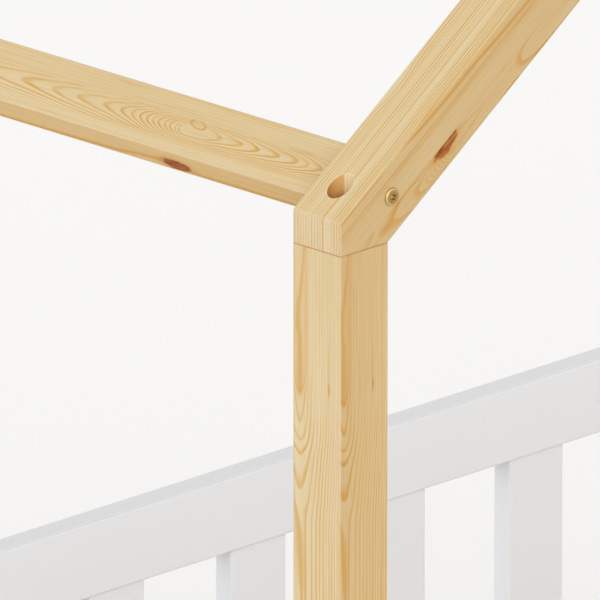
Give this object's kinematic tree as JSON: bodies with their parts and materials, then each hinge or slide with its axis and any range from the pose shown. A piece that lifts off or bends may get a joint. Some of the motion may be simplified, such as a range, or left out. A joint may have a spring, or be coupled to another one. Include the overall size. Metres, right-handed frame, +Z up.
{
  "type": "house frame bed",
  "caption": "Child's single bed with pine posts carrying an open house-shaped roof frame, white slatted guard rails round the mattress and a gap in the front one to climb in by.",
  "frame": {"origin": "on the floor, under the middle of the bed's length and width", "axes": "+X along the bed from its head to its foot, +Y from its open front to its back, +Z up"},
  "size_m": [2.0782, 1.0032, 1.8499],
  "materials": {
    "pine": "clear matt lacquered pine",
    "base_pine": "planed, unfinished pine",
    "white_paint": "satin white paint on wood",
    "connector_brass": "satin, yellow zinc plated",
    "screw_steel": "zinc plated",
    "dowel_beech": "fluted beech, unfinished",
    "glide_plastic": "matt"
  },
  "bodies": {
    "root": {"base_slat_screws": "screw_steel", "base_slats": "base_pine", "eave_barrel_nuts": "connector_brass", "eave_beam_left": "pine", "eave_beam_right": "pine", "eave_bolts": "connector_brass", "end_rail_barrel_nuts": "connector_brass", "end_rail_bolts": "connector_brass", "floor_glides": "glide_plastic", "footboard_bottom_rail": "white_paint", "footboard_slats": "white_paint", "footboard_top_rail": "white_paint", "guard_rail_back": "white_paint", "guard_rail_barrel_nuts": "connector_brass", "guard_rail_bolts": "connector_brass", "guard_rail_front_left": "white_paint", "guard_rail_front_right": "white_paint", "guard_slat_back_01": "white_paint", "guard_slat_back_02": "white_paint", "guard_slat_back_03": "white_paint", "guard_slat_back_04": "white_paint", "guard_slat_back_05": "white_paint", "guard_slat_back_06": "white_paint", "guard_slat_back_07": "white_paint", "guard_slat_back_08": "white_paint", "guard_slat_back_09": "white_paint", "guard_slat_back_10": "white_paint", "guard_slat_back_11": "white_paint", "guard_slat_back_12": "white_paint", "guard_slat_back_13": "white_paint", "guard_slats_front_left": "white_paint", "guard_slats_front_right": "white_paint", "guard_stile_front_left": "white_paint", "guard_stile_front_right": "white_paint", "headboard_bottom_rail": "white_paint", "headboard_slats": "white_paint", "headboard_top_rail": "white_paint", "ledge_screws": "screw_steel", "post_back_left": "pine", "post_back_right": "pine", "post_front_left": "pine", "post_front_right": "pine", "rafter_back_left": "pine", "rafter_back_right": "pine", "rafter_foot_barrel_nuts": "connector_brass", "rafter_foot_bolts": "connector_brass", "rafter_front_left": "pine", "rafter_front_right": "pine", "rail_dowels": "dowel_beech", "ridge_barrel_nuts": "connector_brass", "ridge_beam": "pine", "ridge_bolts": "connector_brass", "side_rail_back": "white_paint", "side_rail_barrel_nuts": "connector_brass", "side_rail_bolts": "connector_brass", "side_rail_front": "white_paint", "slat_ledge_back": "base_pine", "slat_ledge_front": "base_pine"}
  },
  "joints": []
}
